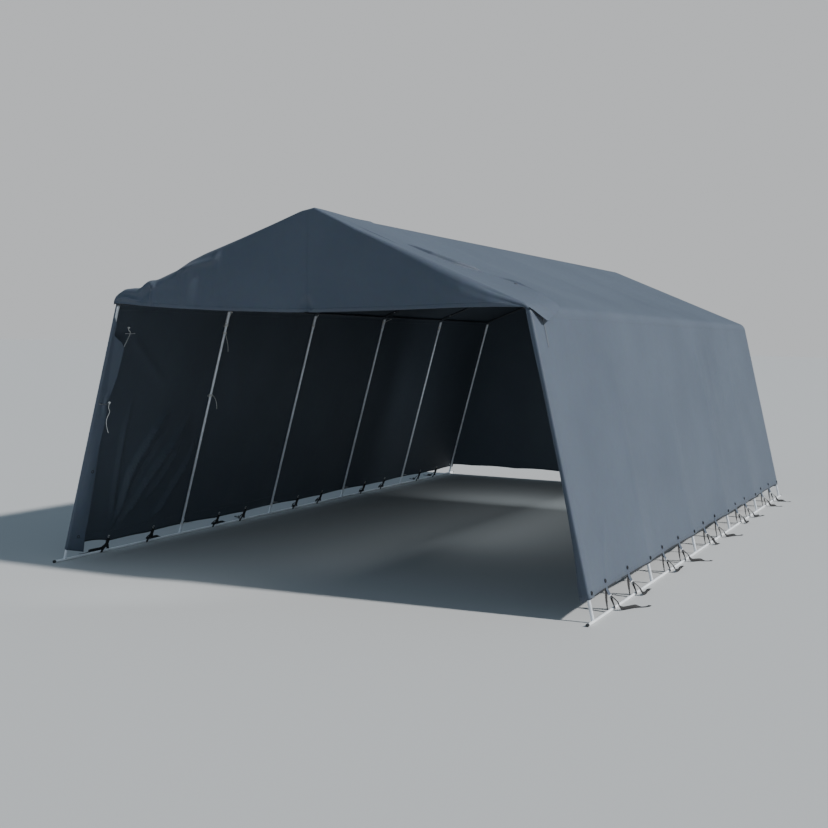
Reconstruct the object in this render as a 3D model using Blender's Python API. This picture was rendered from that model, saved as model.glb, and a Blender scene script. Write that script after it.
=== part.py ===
# Garage tent: six slim steel portal frames with leaning legs under a cloth cover.
# Metres, +Z up. The open front looks along -Y, and the origin is on the ground, mid-plan.
import math

import bmesh
import bpy
from mathutils import Vector

# Driving dimensions of the frame, measured between tube centre lines
PORTALS = 6
BAY = 1.500
GROUND_WIDTH = 4.160
EAVES_WIDTH = 3.190
EAVES_HEIGHT = 1.965
RIDGE_HEIGHT = 2.600
TUBE_RADIUS = 0.0110
RAIL_RADIUS = 0.0095
SLEEVE_RADIUS = 0.0135
EAVES_BEND = 0.080
RIDGE_BEND = 0.150
ELBOW_ARM = 0.150
RIDGE_ARM = 0.170
RAIL_OVERHANG = 0.120
TUBE_SIDES = 12
BEND_STEPS = 4

# Driving dimensions of the cover
CLOTH = 0.004
HOOD_CLOTH = 0.003
GAP = 0.0003
WALL_HOLLOW = 0.014
ROOF_SAG = 0.018
LEFT_HEM = 0.092
RIGHT_HEM = 0.147
REAR_HEM = 0.120
VALANCE_LOW = 1.910
VALANCE_RISE = 0.035
HOOD_DEPTH_RIDGE = 0.780
HOOD_DEPTH_EAVES = 0.620
HOOD_DROOP = 0.055
HOOD_TRIM = 0.012
ROLL_TIGHT = 0.012
ROLL_LOOSE = 0.048
FLAP_WAIST = 1.230
FLAP_TOPS = {"left": 1.690, "right": 1.870}
FLAP_WIDTHS = {"left": (0.140, 0.092, 0.133), "right": (0.150, 0.120, 0.110)}
FLAP_TURNS = {"left": 64, "right": 52}

# Driving dimensions of the straps and cords
STRAP_WIDTH = 0.020
STRAP = 0.0018
STRAPS_PER_BAY = 2
STRAP_START = -18
STRAP_TUCK = 46
BINDING = 0.006
BUCKLE_HEIGHT = 0.085
BUCKLE_BELOW_HEM = 0.030
CORD_DIAMETER = 0.004

# How far each strap's loose end reaches, out from the rail and back along it, from the front
TAIL_LAYS = (
    (0.200, 0.210),
    (0.045, 0.300),
    (0.045, 0.340),
    (0.200, 0.170),
    (0.070, 0.130),
    (0.160, 0.250),
    (0.050, 0.200),
    (0.110, 0.240),
    (0.160, 0.120),
    (0.190, 0.100),
)

LENGTH = BAY * (PORTALS - 1)
FRONT = -LENGTH / 2
REAR = LENGTH / 2
RAIL_HEIGHT = RAIL_RADIUS * math.cos(math.pi / TUBE_SIDES)
SKIN_IN = SLEEVE_RADIUS + GAP
SKIN_OUT = SKIN_IN + CLOTH
HOOD_IN = SKIN_OUT + GAP
FRONT_EDGE = FRONT - SKIN_OUT
SIDES = ((-1, "left"), (1, "right"))

FINISHES = {
    "steel": ((0.62, 0.64, 0.66), 0.35, 0.9),
    "cloth": ((0.045, 0.052, 0.062), 0.75, 0.0),
    "webbing": ((0.012, 0.012, 0.013), 0.8, 0.0),
    "cord": ((0.75, 0.75, 0.72), 0.85, 0.0),
}


def clear_scene():
    for obj in list(bpy.data.objects):
        bpy.data.objects.remove(obj, do_unlink=True)


def make_material(name, finish):
    colour, roughness, metallic = FINISHES[finish]
    material = bpy.data.materials.new(f"{name}_{finish}")
    material.use_nodes = True
    shader = material.node_tree.nodes["Principled BSDF"]
    shader.inputs["Base Color"].default_value = (*colour, 1.0)
    shader.inputs["Roughness"].default_value = roughness
    shader.inputs["Metallic"].default_value = metallic
    return material


def add_object(name, data, finish):
    """Put a mesh or a curve in the scene as a named piece with its own material."""
    obj = bpy.data.objects.new(name, data)
    bpy.context.scene.collection.objects.link(obj)
    data.materials.append(make_material(name, finish))
    return obj


def finish_mesh(name, bm, smooth=False):
    bmesh.ops.recalc_face_normals(bm, faces=bm.faces)
    mesh = bpy.data.meshes.new(name)
    bm.to_mesh(mesh)
    bm.free()
    if smooth:
        mesh.shade_smooth()
        mesh.set_sharp_from_angle(angle=math.radians(40))
    return mesh


def ring_solid(name, rings, finish, smooth=False):
    """Closed solid through rings of points, capped on the first and last ring."""
    bm = bmesh.new()
    rows = [[bm.verts.new(point) for point in ring] for ring in rings]
    count = len(rings[0])
    for low, high in zip(rows, rows[1:]):
        for k in range(count):
            after = (k + 1) % count
            bm.faces.new((low[k], low[after], high[after], high[k]))
    bm.faces.new(list(reversed(rows[0])))
    bm.faces.new(rows[-1])
    return add_object(name, finish_mesh(name, bm, smooth), finish)


def sheet_solid(name, inner, outer, finish="cloth"):
    """Closed cloth solid between two grids of points, its inner and outer faces."""
    rows, columns = len(inner), len(inner[0])
    bm = bmesh.new()
    inside = [[bm.verts.new(p) for p in row] for row in inner]
    outside = [[bm.verts.new(p) for p in row] for row in outer]
    for r in range(rows - 1):
        for c in range(columns - 1):
            a, b = inside[r], inside[r + 1]
            bm.faces.new((a[c], b[c], b[c + 1], a[c + 1]))
            a, b = outside[r], outside[r + 1]
            bm.faces.new((a[c], a[c + 1], b[c + 1], b[c]))
    border = [(0, c) for c in range(columns)]
    border += [(r, columns - 1) for r in range(1, rows)]
    border += [(rows - 1, c) for c in range(columns - 2, -1, -1)]
    border += [(r, 0) for r in range(rows - 2, 0, -1)]
    for (r, c), (s, d) in zip(border, border[1:] + border[:1]):
        bm.faces.new((inside[r][c], inside[s][d], outside[s][d], outside[r][c]))
    return add_object(name, finish_mesh(name, bm), finish)


def tube(name, path, radius=TUBE_RADIUS, side=(0, 1, 0)):
    """Round tube along a path that stays in the plane square to side."""
    side = Vector(side).normalized()
    rings = []
    for k, point in enumerate(path):
        before = (point - path[k - 1] if k else path[1] - point).normalized()
        after = (path[k + 1] - point).normalized() if k < len(path) - 1 else before
        along = (before + after).normalized()
        across = along.cross(side).normalized() / along.dot(before)
        ring = []
        for n in range(TUBE_SIDES):
            angle = 2 * math.pi * (n + 0.5) / TUBE_SIDES
            ring.append(point + (side * math.cos(angle) + across * math.sin(angle)) * radius)
        rings.append(ring)
    return ring_solid(name, rings, "steel", smooth=True)


def apply_boolean(obj, other, operation):
    modifier = obj.modifiers.new(operation.title(), "BOOLEAN")
    modifier.operation = operation
    modifier.solver = "EXACT"
    modifier.object = other
    depsgraph = bpy.context.evaluated_depsgraph_get()
    mesh = bpy.data.meshes.new_from_object(obj.evaluated_get(depsgraph))
    obj.modifiers.clear()
    obj.data = mesh
    bpy.data.objects.remove(other, do_unlink=True)


def fuse(base, others):
    """Join overlapping solids into one closed body."""
    for other in others:
        apply_boolean(base, other, "UNION")
    return base


# The cross-section of the frame, on its right-hand side
FOOT = Vector((GROUND_WIDTH / 2, 0, RAIL_HEIGHT))
EAVE = Vector((EAVES_WIDTH / 2, 0, EAVES_HEIGHT))
RIDGE = Vector((0, 0, RIDGE_HEIGHT))
LEG_DIRECTION = (EAVE - FOOT).normalized()
RAFTER_DIRECTION = (RIDGE - EAVE).normalized()
WALL_NORMAL = Vector((LEG_DIRECTION.z, 0, -LEG_DIRECTION.x))
ROOF_NORMAL = Vector((RAFTER_DIRECTION.z, 0, -RAFTER_DIRECTION.x))


def placed(path, y, side):
    """A section path for one side of the tent, moved to its place along the length."""
    return [Vector((side * p.x, y, p.z)) for p in path]


def portal_y(index):
    return FRONT + BAY * index


def bend(corner, before, after, radius):
    """Points on the arc that rounds a corner between two directions."""
    turn = before.angle(after)
    start = corner - before * radius * math.tan(turn / 2)
    inward = (after - before * after.dot(before)).normalized()
    centre = start + inward * radius
    points = []
    for k in range(BEND_STEPS + 1):
        angle = turn * k / BEND_STEPS
        points.append(centre + (before * math.sin(angle) - inward * math.cos(angle)) * radius)
    return points


def skin_corner(offset):
    """Where wall and roof skins meet at the eaves, at a distance outside the tube centres."""
    wall = FOOT + WALL_NORMAL * offset
    gap = RIDGE + ROOF_NORMAL * offset - wall
    cross = LEG_DIRECTION.x * RAFTER_DIRECTION.z - LEG_DIRECTION.z * RAFTER_DIRECTION.x
    along = (gap.x * RAFTER_DIRECTION.z - gap.z * RAFTER_DIRECTION.x) / cross
    return wall + LEG_DIRECTION * along


def skin_apex(offset):
    return Vector((GAP / 2, 0, RIDGE_HEIGHT + offset / ROOF_NORMAL.z))


def wall_point(offset, z):
    """A point of the wall's cross-section at a height."""
    low = FOOT + WALL_NORMAL * offset
    return low + LEG_DIRECTION * ((z - low.z) / LEG_DIRECTION.z)


def bay_hollow(y):
    """Zero at each portal and beyond the ends, and one in the middle of each bay."""
    if not FRONT < y < REAR:
        return 0.0
    return math.sin(math.pi * (y - FRONT) / BAY) ** 2


def lengthwise(front_edge, rear_edge, steps_per_bay=6):
    """Places along the length, from the front edge of a cover to its rear edge."""
    steps = (PORTALS - 1) * steps_per_bay
    inner = [FRONT + LENGTH * k / steps for k in range(1, steps)]
    return [front_edge, *inner, rear_edge]


def make_ground_rails():
    end = REAR + RAIL_OVERHANG
    for side, label in SIDES:
        path = [Vector((side * FOOT.x, y, RAIL_HEIGHT)) for y in (-end, end)]
        tube(f"{label}_ground_rail", path, RAIL_RADIUS, side=(1, 0, 0))


def make_legs():
    """Leaning legs, each coped at its foot to sit on the ground rail."""
    cope = RAIL_RADIUS + GAP / math.cos(math.pi / TUBE_SIDES)
    foot = FOOT + LEG_DIRECTION * 0.004
    top = EAVE - LEG_DIRECTION * (ELBOW_ARM + GAP)
    for side, label in SIDES:
        for index in range(PORTALS):
            y = portal_y(index)
            leg = tube(f"{label}_leg_{index + 1}", placed([foot, top], y, side))
            ends = [Vector((side * FOOT.x, y + reach, RAIL_HEIGHT)) for reach in (-0.05, 0.05)]
            apply_boolean(leg, tube("cope", ends, cope, side=(1, 0, 0)), "DIFFERENCE")


def make_rafters():
    start = EAVE + RAFTER_DIRECTION * (ELBOW_ARM + GAP)
    stop = RIDGE - RAFTER_DIRECTION * (RIDGE_ARM + GAP)
    for side, label in SIDES:
        for index in range(PORTALS):
            tube(f"{label}_rafter_{index + 1}", placed([start, stop], portal_y(index), side))


def make_purlin(name, x, z, bends):
    """A purlin along the tent, fused with the bent connector that it has at every portal."""
    end = REAR + SLEEVE_RADIUS - GAP
    path = [Vector((x, y, z)) for y in (-end, end)]
    purlin = tube(name, path, side=(1, 0, 0))
    connectors = []
    for index in range(PORTALS):
        path = [Vector((p.x, portal_y(index), p.z)) for p in bends]
        connectors.append(tube("connector", path, SLEEVE_RADIUS))
    return fuse(purlin, connectors)


def make_purlins():
    arc = bend(EAVE, LEG_DIRECTION, RAFTER_DIRECTION, EAVES_BEND)
    middle = arc[BEND_STEPS // 2]
    elbow = [EAVE - LEG_DIRECTION * ELBOW_ARM, *arc, EAVE + RAFTER_DIRECTION * ELBOW_ARM]
    for side, label in SIDES:
        make_purlin(f"{label}_eaves_purlin", side * middle.x, middle.z, placed(elbow, 0, side))
    down = Vector((RAFTER_DIRECTION.x, 0, -RAFTER_DIRECTION.z))
    arc = bend(RIDGE, RAFTER_DIRECTION, down, RIDGE_BEND)
    crown = [RIDGE - RAFTER_DIRECTION * RIDGE_ARM, *arc, RIDGE + down * RIDGE_ARM]
    make_purlin("ridge_purlin", 0, arc[BEND_STEPS // 2].z, crown)


def make_wall_covers():
    """Side walls of cloth outside the legs, drawn in a little between them."""
    shares = (0.0, 0.15, 0.4, 0.7, 0.9, 1.0)
    places = lengthwise(FRONT_EDGE, -FRONT_EDGE)
    for side, label in SIDES:
        hem = LEFT_HEM if side < 0 else RIGHT_HEM
        faces = []
        for offset in (SKIN_IN, SKIN_OUT):
            low = wall_point(offset, hem)
            top = skin_corner(offset) - LEG_DIRECTION * CLOTH
            face = []
            for share in shares:
                point = low.lerp(top, share)
                row = []
                for y in places:
                    draw = WALL_HOLLOW * bay_hollow(y) * (1 - share ** 3)
                    row.append(Vector((side * (point.x - draw), y, point.z)))
                face.append(row)
            faces.append(face)
        sheet_solid(f"{label}_wall_cover", *faces)


def make_roof_covers():
    """Both roof slopes, from the eaves up to the ridge, sagging between rafters."""
    shares = (0.0, 0.12, 0.35, 0.6, 0.85, 1.0)
    places = lengthwise(FRONT_EDGE, -FRONT_EDGE)
    for side, label in SIDES:
        faces = []
        for offset in (SKIN_IN, SKIN_OUT):
            face = []
            for share in shares:
                point = skin_corner(offset).lerp(skin_apex(offset), share)
                row = []
                for y in places:
                    sag = ROOF_SAG * bay_hollow(y) * math.sin(math.pi * share)
                    row.append(Vector((side * point.x, y, point.z - sag)))
                face.append(row)
            faces.append(face)
        sheet_solid(f"{label}_roof_cover", *faces)


def make_rear_wall():
    """Closed gable wall behind the last portal."""
    offset = SKIN_IN - GAP
    half = [wall_point(offset, REAR_HEM), skin_corner(offset)]
    apex = Vector((0, 0, RIDGE_HEIGHT + offset / ROOF_NORMAL.z))
    outline = [*half, apex, *reversed(placed(half, 0, -1))]
    rings = [[Vector((p.x, y, p.z)) for p in outline] for y in (REAR + SKIN_IN, REAR + SKIN_OUT)]
    ring_solid("rear_wall_cover", rings, "cloth")


def roll_radius(share):
    """Radius of the soft roll where the hood turns down, from the ridge to the eaves."""
    return ROLL_TIGHT + ROLL_LOOSE * math.sin(math.pi * share ** 1.5)


def hood_profile(share, outside):
    """Points of the hood in the upright plane through one place on the roof slope."""
    inner = skin_apex(HOOD_IN).lerp(skin_corner(HOOD_IN), share)
    outer = skin_apex(HOOD_IN + HOOD_CLOTH).lerp(skin_corner(HOOD_IN + HOOD_CLOTH), share)
    start = outer if outside else inner
    depth = HOOD_DEPTH_RIDGE + (HOOD_DEPTH_EAVES - HOOD_DEPTH_RIDGE) * share
    points = []
    for step in (1.0, 0.66, 0.33, 0.0):
        points.append(Vector((start.x, FRONT_EDGE - GAP + depth * step, start.z)))
    radius = roll_radius(share)
    reach = radius + (outer.z - inner.z if outside else 0.0)
    for degrees in (25, 50, 70, 88):
        angle = math.radians(degrees)
        x = inner.x + (start.x - inner.x) * math.cos(angle)
        y = FRONT_EDGE - GAP - reach * math.sin(angle)
        points.append(Vector((x, y, inner.z - radius + reach * math.cos(angle))))
    return points


def make_hoods():
    """The valance's cloth carried over the front rafters and laid back on the roof."""
    shares = (0.0, 0.2, 0.4, 0.55, 0.7, 0.85, 1.0)
    for side, label in SIDES:
        faces = []
        for outside in (False, True):
            face = [placed_profile(hood_profile(share, outside), side) for share in shares]
            hanging = []
            for k, point in enumerate(hood_profile(1.0, outside)):
                drop = HOOD_TRIM / 2 if k > 3 else HOOD_TRIM + HOOD_DROOP * (0.0, 0.9, 1.0, 0.15)[k]
                hanging.append(point - LEG_DIRECTION * drop)
            face.append(placed_profile(hanging, side))
            faces.append(face)
        sheet_solid(f"{label}_front_hood", *faces)


def placed_profile(points, side):
    return [Vector((side * p.x, p.y, p.z)) for p in points]


def make_valance():
    """Front gable panel: it hangs from the hood's roll and its lower edge curves down."""
    shares = (1.0, 0.85, 0.7, 0.55, 0.4, 0.2)
    stations = [(-1, share) for share in shares]
    stations += [(1, 0.0)]
    stations += [(1, share) for share in reversed(shares)]
    faces = []
    for thick in (0.0, HOOD_CLOTH):
        face = []
        for height in (0.0, 0.35, 0.7, 1.0):
            row = []
            for side, share in stations:
                inner = skin_apex(HOOD_IN).lerp(skin_corner(HOOD_IN), share)
                radius = roll_radius(share)
                low = VALANCE_LOW + VALANCE_RISE * share ** 2
                high = inner.z - radius
                x = inner.x - CLOTH * share
                row.append(Vector((side * x, FRONT_EDGE - GAP - radius - thick, low + (high - low) * height)))
            face.append(row)
        faces.append(face)
    sheet_solid("front_valance", *faces)


def flap_width(label, z):
    foot, waist, head = FLAP_WIDTHS[label]
    if z < FLAP_WAIST:
        return foot + (waist - foot) * z / FLAP_WAIST
    return waist + (head - waist) * (z - FLAP_WAIST) / (FLAP_TOPS[label] - FLAP_WAIST)


def make_front_flaps():
    """Strips of the wall cloth turned inwards round the front legs."""
    near = SKIN_IN + GAP
    far = near + CLOTH
    wall = SKIN_IN / LEG_DIRECTION.z - GAP
    for side, label in SIDES:
        hem = LEFT_HEM if side < 0 else RIGHT_HEM
        turn = math.radians(FLAP_TURNS[label])
        along = Vector((-math.cos(turn), math.sin(turn)))
        rings = []
        for z in (hem, 0.65, FLAP_WAIST, FLAP_TOPS[label]):
            axis = Vector((FOOT.x + (z - FOOT.z) * LEG_DIRECTION.x / LEG_DIRECTION.z, FRONT))
            bend_in = Vector((-near * math.tan(turn / 2), -near))
            bend_out = Vector((-far * math.tan(turn / 2), -far))
            reach = along * flap_width(label, z)
            outline = [Vector((wall, -near)), bend_in, bend_in + reach]
            outline += [bend_out + reach, bend_out, Vector((wall, -far))]
            rings.append([Vector((side * (axis + p).x, (axis + p).y, z)) for p in outline])
        ring_solid(f"{label}_front_flap", rings, "cloth")


def hem_x(hem, y, offset):
    """How far out the bottom edge of a wall hangs at a place along the length."""
    return wall_point(offset, hem).x - WALL_HOLLOW * bay_hollow(y)


def strap_section(hem, side, y):
    """Outline of one strap seen along the rail: two bands from the hem to either side of it."""
    centre = Vector((FOOT.x, RAIL_HEIGHT))
    steps = 4
    step = (STRAP_TUCK - STRAP_START) / steps
    near = (RAIL_RADIUS + GAP) / math.cos(math.radians(step / 2))
    top = Vector((hem_x(hem, y, SKIN_IN + CLOTH / 2), hem - BINDING / 2))
    outer, inner = [], []
    for k in range(steps + 1):
        angle = math.radians(STRAP_START + step * k)
        direction = Vector((math.cos(angle), -math.sin(angle)))
        outer.append(direction * (near + STRAP))
        inner.append(direction * near)
    outline = [top + Vector((STRAP, 0))]
    outline += [centre + p for p in outer + inner[::-1]]
    outline.append(top - Vector((0, 0.010)))
    outline += [centre + Vector((-p.x, p.y)) for p in inner + outer[::-1]]
    outline.append(top - Vector((STRAP, 0)))
    return [Vector((side * p.x, p.y)) for p in outline]


def smooth_route(places, spacing):
    """Evenly spaced points on a smooth curve through a short list of places."""
    places = [Vector(p) for p in places]
    padded = [2 * places[0] - places[1], *places, 2 * places[-1] - places[-2]]
    dense = []
    for k in range(len(places) - 1):
        a, b, c, d = padded[k:k + 4]
        for n in range(20):
            t = n / 20
            curve = 2 * b + (c - a) * t + (2 * a - 5 * b + 4 * c - d) * t ** 2
            dense.append((curve + (3 * b - a - 3 * c + d) * t ** 3) / 2)
    dense.append(places[-1])
    lengths = [0.0]
    for a, b in zip(dense, dense[1:]):
        lengths.append(lengths[-1] + (b - a).length)
    count = max(4, round(lengths[-1] / spacing))
    route, k = [], 0
    for n in range(count + 1):
        target = lengths[-1] * n / count
        while k < len(dense) - 2 and lengths[k + 1] < target:
            k += 1
        share = (target - lengths[k]) / max(lengths[k + 1] - lengths[k], 1e-9)
        route.append(dense[k].lerp(dense[k + 1], share))
    return route


def strap_tail(hem, side, y, lay):
    """Loose end of a strap: from its buckle down and out, then along the ground."""
    reach, back = lay
    buckle = min(BUCKLE_HEIGHT, hem - BUCKLE_BELOW_HEM)
    top_x = hem_x(hem, y, SKIN_IN + CLOTH / 2) + STRAP / 2
    share = (hem - buckle) / (hem - RAIL_HEIGHT)
    start = top_x + (FOOT.x + RAIL_RADIUS + STRAP / 2 - top_x) * share
    ground = STRAP / 2 + 0.0006
    out = FOOT.x + reach
    places = [
        (start, y, buckle),
        (FOOT.x + 0.022, y + 0.008, buckle * 0.45),
        (FOOT.x + 0.034, y + 0.030, 0.010),
        (FOOT.x + 0.034 + (reach - 0.034) * 0.5, y + 0.030 + (back - 0.030) * 0.55, ground),
        (out, y + back, ground),
    ]
    route = smooth_route(places, 0.045)
    rings = []
    for k, point in enumerate(route):
        along = (route[min(k + 1, len(route) - 1)] - route[max(k - 1, 0)]).normalized()
        level = Vector((-along.y, along.x, 0)).normalized() * STRAP_WIDTH * 0.45
        thick = along.cross(level).normalized() * STRAP / 2
        corners = (-level - thick, level - thick, level + thick, thick - level)
        rings.append([point + corner for corner in corners])
    rings = [placed_profile(ring, side) for ring in rings]
    return ring_solid("tail", rings, "webbing")


def make_hold_down_straps():
    """Black hem binding of each wall, with the straps that hold it down to the rail."""
    for side, label in SIDES:
        hem = LEFT_HEM if side < 0 else RIGHT_HEM
        high = hem - GAP
        rings = []
        for y in lengthwise(FRONT, REAR):
            x = hem_x(hem, y, SKIN_IN)
            outline = ((x, high), (x + CLOTH, high), (x + CLOTH, high - BINDING), (x, high - BINDING))
            rings.append([Vector((side * px, y, pz)) for px, pz in outline])
        binding = ring_solid(f"{label}_hem_and_straps", rings, "webbing")
        pieces = []
        for number, lay in enumerate(TAIL_LAYS):
            bay, place = divmod(number, STRAPS_PER_BAY)
            y = portal_y(bay) + BAY * (place + 1) / (STRAPS_PER_BAY + 1)
            outline = strap_section(hem, side, y)
            edges = (y - STRAP_WIDTH / 2, y + STRAP_WIDTH / 2)
            rings = [[Vector((p.x, edge, p.y)) for p in outline] for edge in edges]
            pieces.append(ring_solid("strap", rings, "webbing"))
            pieces.append(strap_tail(hem, side, y, lay))
        fuse(binding, pieces)


def cord(name, places):
    curve = bpy.data.curves.new(name, "CURVE")
    curve.dimensions = "3D"
    curve.bevel_depth = CORD_DIAMETER / 2
    curve.bevel_resolution = 2
    curve.use_fill_caps = True
    route = smooth_route(places, CORD_DIAMETER * 3)
    spline = curve.splines.new("POLY")
    spline.points.add(len(route) - 1)
    for point, place in zip(spline.points, route):
        point.co = (*place, 1.0)
    return add_object(name, curve, "cord")


def leg_axis(side, portal, z):
    share = (z - FOOT.z) / (EAVE.z - FOOT.z)
    return Vector((side * FOOT.lerp(EAVE, share).x, portal_y(portal), z))


def make_tie_cords():
    """Loose ends of the cords that tie the cover to the frame."""
    knot = leg_axis(-1, 1, 1.755)
    ends = ((0.014, -0.006, 0.0), (0.020, -0.009, -0.020), (0.032, -0.010, -0.060))
    ends += ((0.042, -0.010, -0.110), (0.044, -0.010, -0.155))
    cord("tie_cord_leg_2_upper", [knot + Vector(end) for end in ends])
    knot = leg_axis(-1, 1, 1.225)
    ends = ((0.014, -0.006, 0.0), (0.034, -0.010, -0.004), (0.059, -0.012, -0.039))
    ends += ((0.070, -0.012, -0.079), (0.072, -0.012, -0.114))
    cord("tie_cord_leg_2_lower", [knot + Vector(end) for end in ends])
    knot = leg_axis(-1, 0, 1.213)
    ends = ((0.062, 0.061, 0.004), (0.058, 0.058, -0.037), (0.067, 0.060, -0.065))
    ends += ((0.045, 0.052, -0.123), (0.049, 0.050, -0.178), (0.060, 0.054, -0.221))
    cord("tie_cord_left_flap", [knot + Vector(end) for end in ends])
    skin = SKIN_OUT + CORD_DIAMETER / 2 + GAP * 2
    drops = ((-3.575, 1.900), (-3.574, 1.850), (-3.577, 1.790), (-3.575, 1.715))
    places = []
    for y, z in drops:
        point = wall_point(skin, z)
        places.append((point.x, y, z))
    cord("tie_cord_right_corner", places)


def build():
    clear_scene()
    make_ground_rails()
    make_legs()
    make_rafters()
    make_purlins()
    make_wall_covers()
    make_roof_covers()
    make_rear_wall()
    make_hoods()
    make_valance()
    make_front_flaps()
    make_hold_down_straps()
    make_tie_cords()


build()
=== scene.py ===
from math import atan2, cos, exp, pi, radians, sin, tan

import bmesh
import bpy
import numpy as np
from mathutils import Matrix, Vector


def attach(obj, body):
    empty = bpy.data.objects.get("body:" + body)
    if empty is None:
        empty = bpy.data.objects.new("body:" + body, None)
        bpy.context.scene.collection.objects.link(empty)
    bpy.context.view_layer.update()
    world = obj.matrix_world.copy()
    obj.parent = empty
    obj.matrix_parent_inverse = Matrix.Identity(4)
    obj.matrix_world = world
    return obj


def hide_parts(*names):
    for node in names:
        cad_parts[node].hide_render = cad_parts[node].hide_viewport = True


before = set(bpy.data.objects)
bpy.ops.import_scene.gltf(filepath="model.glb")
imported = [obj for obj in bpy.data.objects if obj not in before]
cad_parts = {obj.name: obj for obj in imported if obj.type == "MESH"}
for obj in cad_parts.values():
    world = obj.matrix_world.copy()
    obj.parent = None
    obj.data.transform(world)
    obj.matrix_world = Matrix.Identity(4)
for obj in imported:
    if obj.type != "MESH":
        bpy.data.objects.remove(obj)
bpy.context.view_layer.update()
bpy.ops.object.select_all(action="DESELECT")
print("frame loaded")


def addObject(name, data):
    thing = bpy.data.objects.new(name, data)
    bpy.context.scene.collection.objects.link(thing)
    return thing


# the view of the photograph
viewpoint = {
    "place": (4.291, -11.381, 1.769),
    "heading": 24.49,  # degrees to the left of the ridge
    "lookDown": 3.516,
    "roll": 1.338,
    "lens": 55.24,
}
cameraData = bpy.data.cameras.new("photoView")
cameraData.lens = viewpoint["lens"]
cameraData.sensor_width = 36
cameraData.clip_end = 300
camera = addObject("photoView", cameraData)
turn = Matrix.Rotation(radians(viewpoint["heading"]), 4, "Z")
turn = turn @ Matrix.Rotation(radians(90 - viewpoint["lookDown"]), 4, "X")
turn = turn @ Matrix.Rotation(radians(viewpoint["roll"]), 4, "Z")
camera.matrix_world = Matrix.Translation(viewpoint["place"]) @ turn
bpy.context.scene.camera = camera

# the frame that the cloth lies on, in metres
tent = {
    "bay": 1.5,
    "portals": 6,
    "front": -3.75,
    "rear": 3.75,
    "footX": 2.08,
    "footZ": 0.00918,
    "eaveX": 1.595,
    "eaveZ": 1.965,
    "ridgeZ": 2.6,
    "rail": 0.0095,
    "eaveBend": 0.08,
    "ridgeBend": 0.15,
    "frontEdge": -3.7681,
}
front, rear, bay = tent["front"], tent["rear"], tent["bay"]
footX, footZ, eaveX, eaveZ = tent["footX"], tent["footZ"], tent["eaveX"], tent["eaveZ"]


def newMaterial(name):
    material = bpy.data.materials.new(name)
    material.use_nodes = True
    tree = material.node_tree
    return material, tree, tree.nodes["Principled BSDF"]


def feed(node, inputs):
    # each input takes a plain value or the output of another node
    for name, value in inputs.items():
        if isinstance(value, bpy.types.NodeSocket):
            node.id_data.links.new(value, node.inputs[name])
        else:
            node.inputs[name].default_value = value
    return node.outputs


def addNode(tree, kind, inputs):
    return feed(tree.nodes.new(kind), inputs)


def ramp(tree, value, stops):
    node = tree.nodes.new("ShaderNodeValToRGB")
    marks = node.color_ramp.elements
    for mark, (place, colour) in zip(marks, (stops[0], stops[-1])):
        mark.position = place
        mark.color = (*colour, 1)
    for place, colour in stops[1:-1]:
        marks.new(place).color = (*colour, 1)
    return feed(node, {"Fac": value})["Color"]


def noise(tree, coords, scale, detail=3.0, rough=0.55):
    inputs = {"Vector": coords, "Scale": scale, "Detail": detail, "Roughness": rough}
    return addNode(tree, "ShaderNodeTexNoise", inputs)


def waves(tree, coords, direction, scale, distortion):
    node = tree.nodes.new("ShaderNodeTexWave")
    node.bands_direction = direction
    return feed(node, {"Vector": coords, "Scale": scale, "Distortion": distortion})["Fac"]


def bump(tree, height, strength, distance, before=None):
    inputs = {"Height": height, "Strength": strength, "Distance": distance}
    if before is not None:
        inputs["Normal"] = before
    return addNode(tree, "ShaderNodeBump", inputs)["Normal"]


def reckon(tree, operation, first, second=0.0):
    node = tree.nodes.new("ShaderNodeMath")
    node.operation = operation
    return feed(node, {0: first, 1: second})["Value"]


def mapRange(tree, value, end, low, high, kind="LINEAR"):
    node = tree.nodes.new("ShaderNodeMapRange")
    node.interpolation_type = kind
    return feed(node, {"Value": value, end + " Min": low, end + " Max": high})["Result"]


def blend(tree, kind, factor, first, second):
    node = tree.nodes.new("ShaderNodeMix")
    node.data_type = "RGBA"
    node.blend_type = kind
    return feed(node, {"Factor": factor, "A": first, "B": second})["Result"]


def onPiece(tree):
    return tree.nodes.new("ShaderNodeTexCoord").outputs["Object"]


def onCloth(tree):
    # the piece's own UV, in metres
    node = tree.nodes.new("ShaderNodeUVMap")
    node.uv_map = "UVMap"
    return node.outputs["UV"]


def tint(tone, factor):
    return tuple(min(1, c * factor) for c in tone)


def bandOn(tree, value, centre, halfWidth, soft):
    # 1 within a band of a coordinate, fading to 0 over the soft width
    away = reckon(tree, "ABSOLUTE", reckon(tree, "SUBTRACT", value, centre))
    return mapRange(tree, away, "From", halfWidth + soft, halfWidth, "SMOOTHSTEP")


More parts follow.
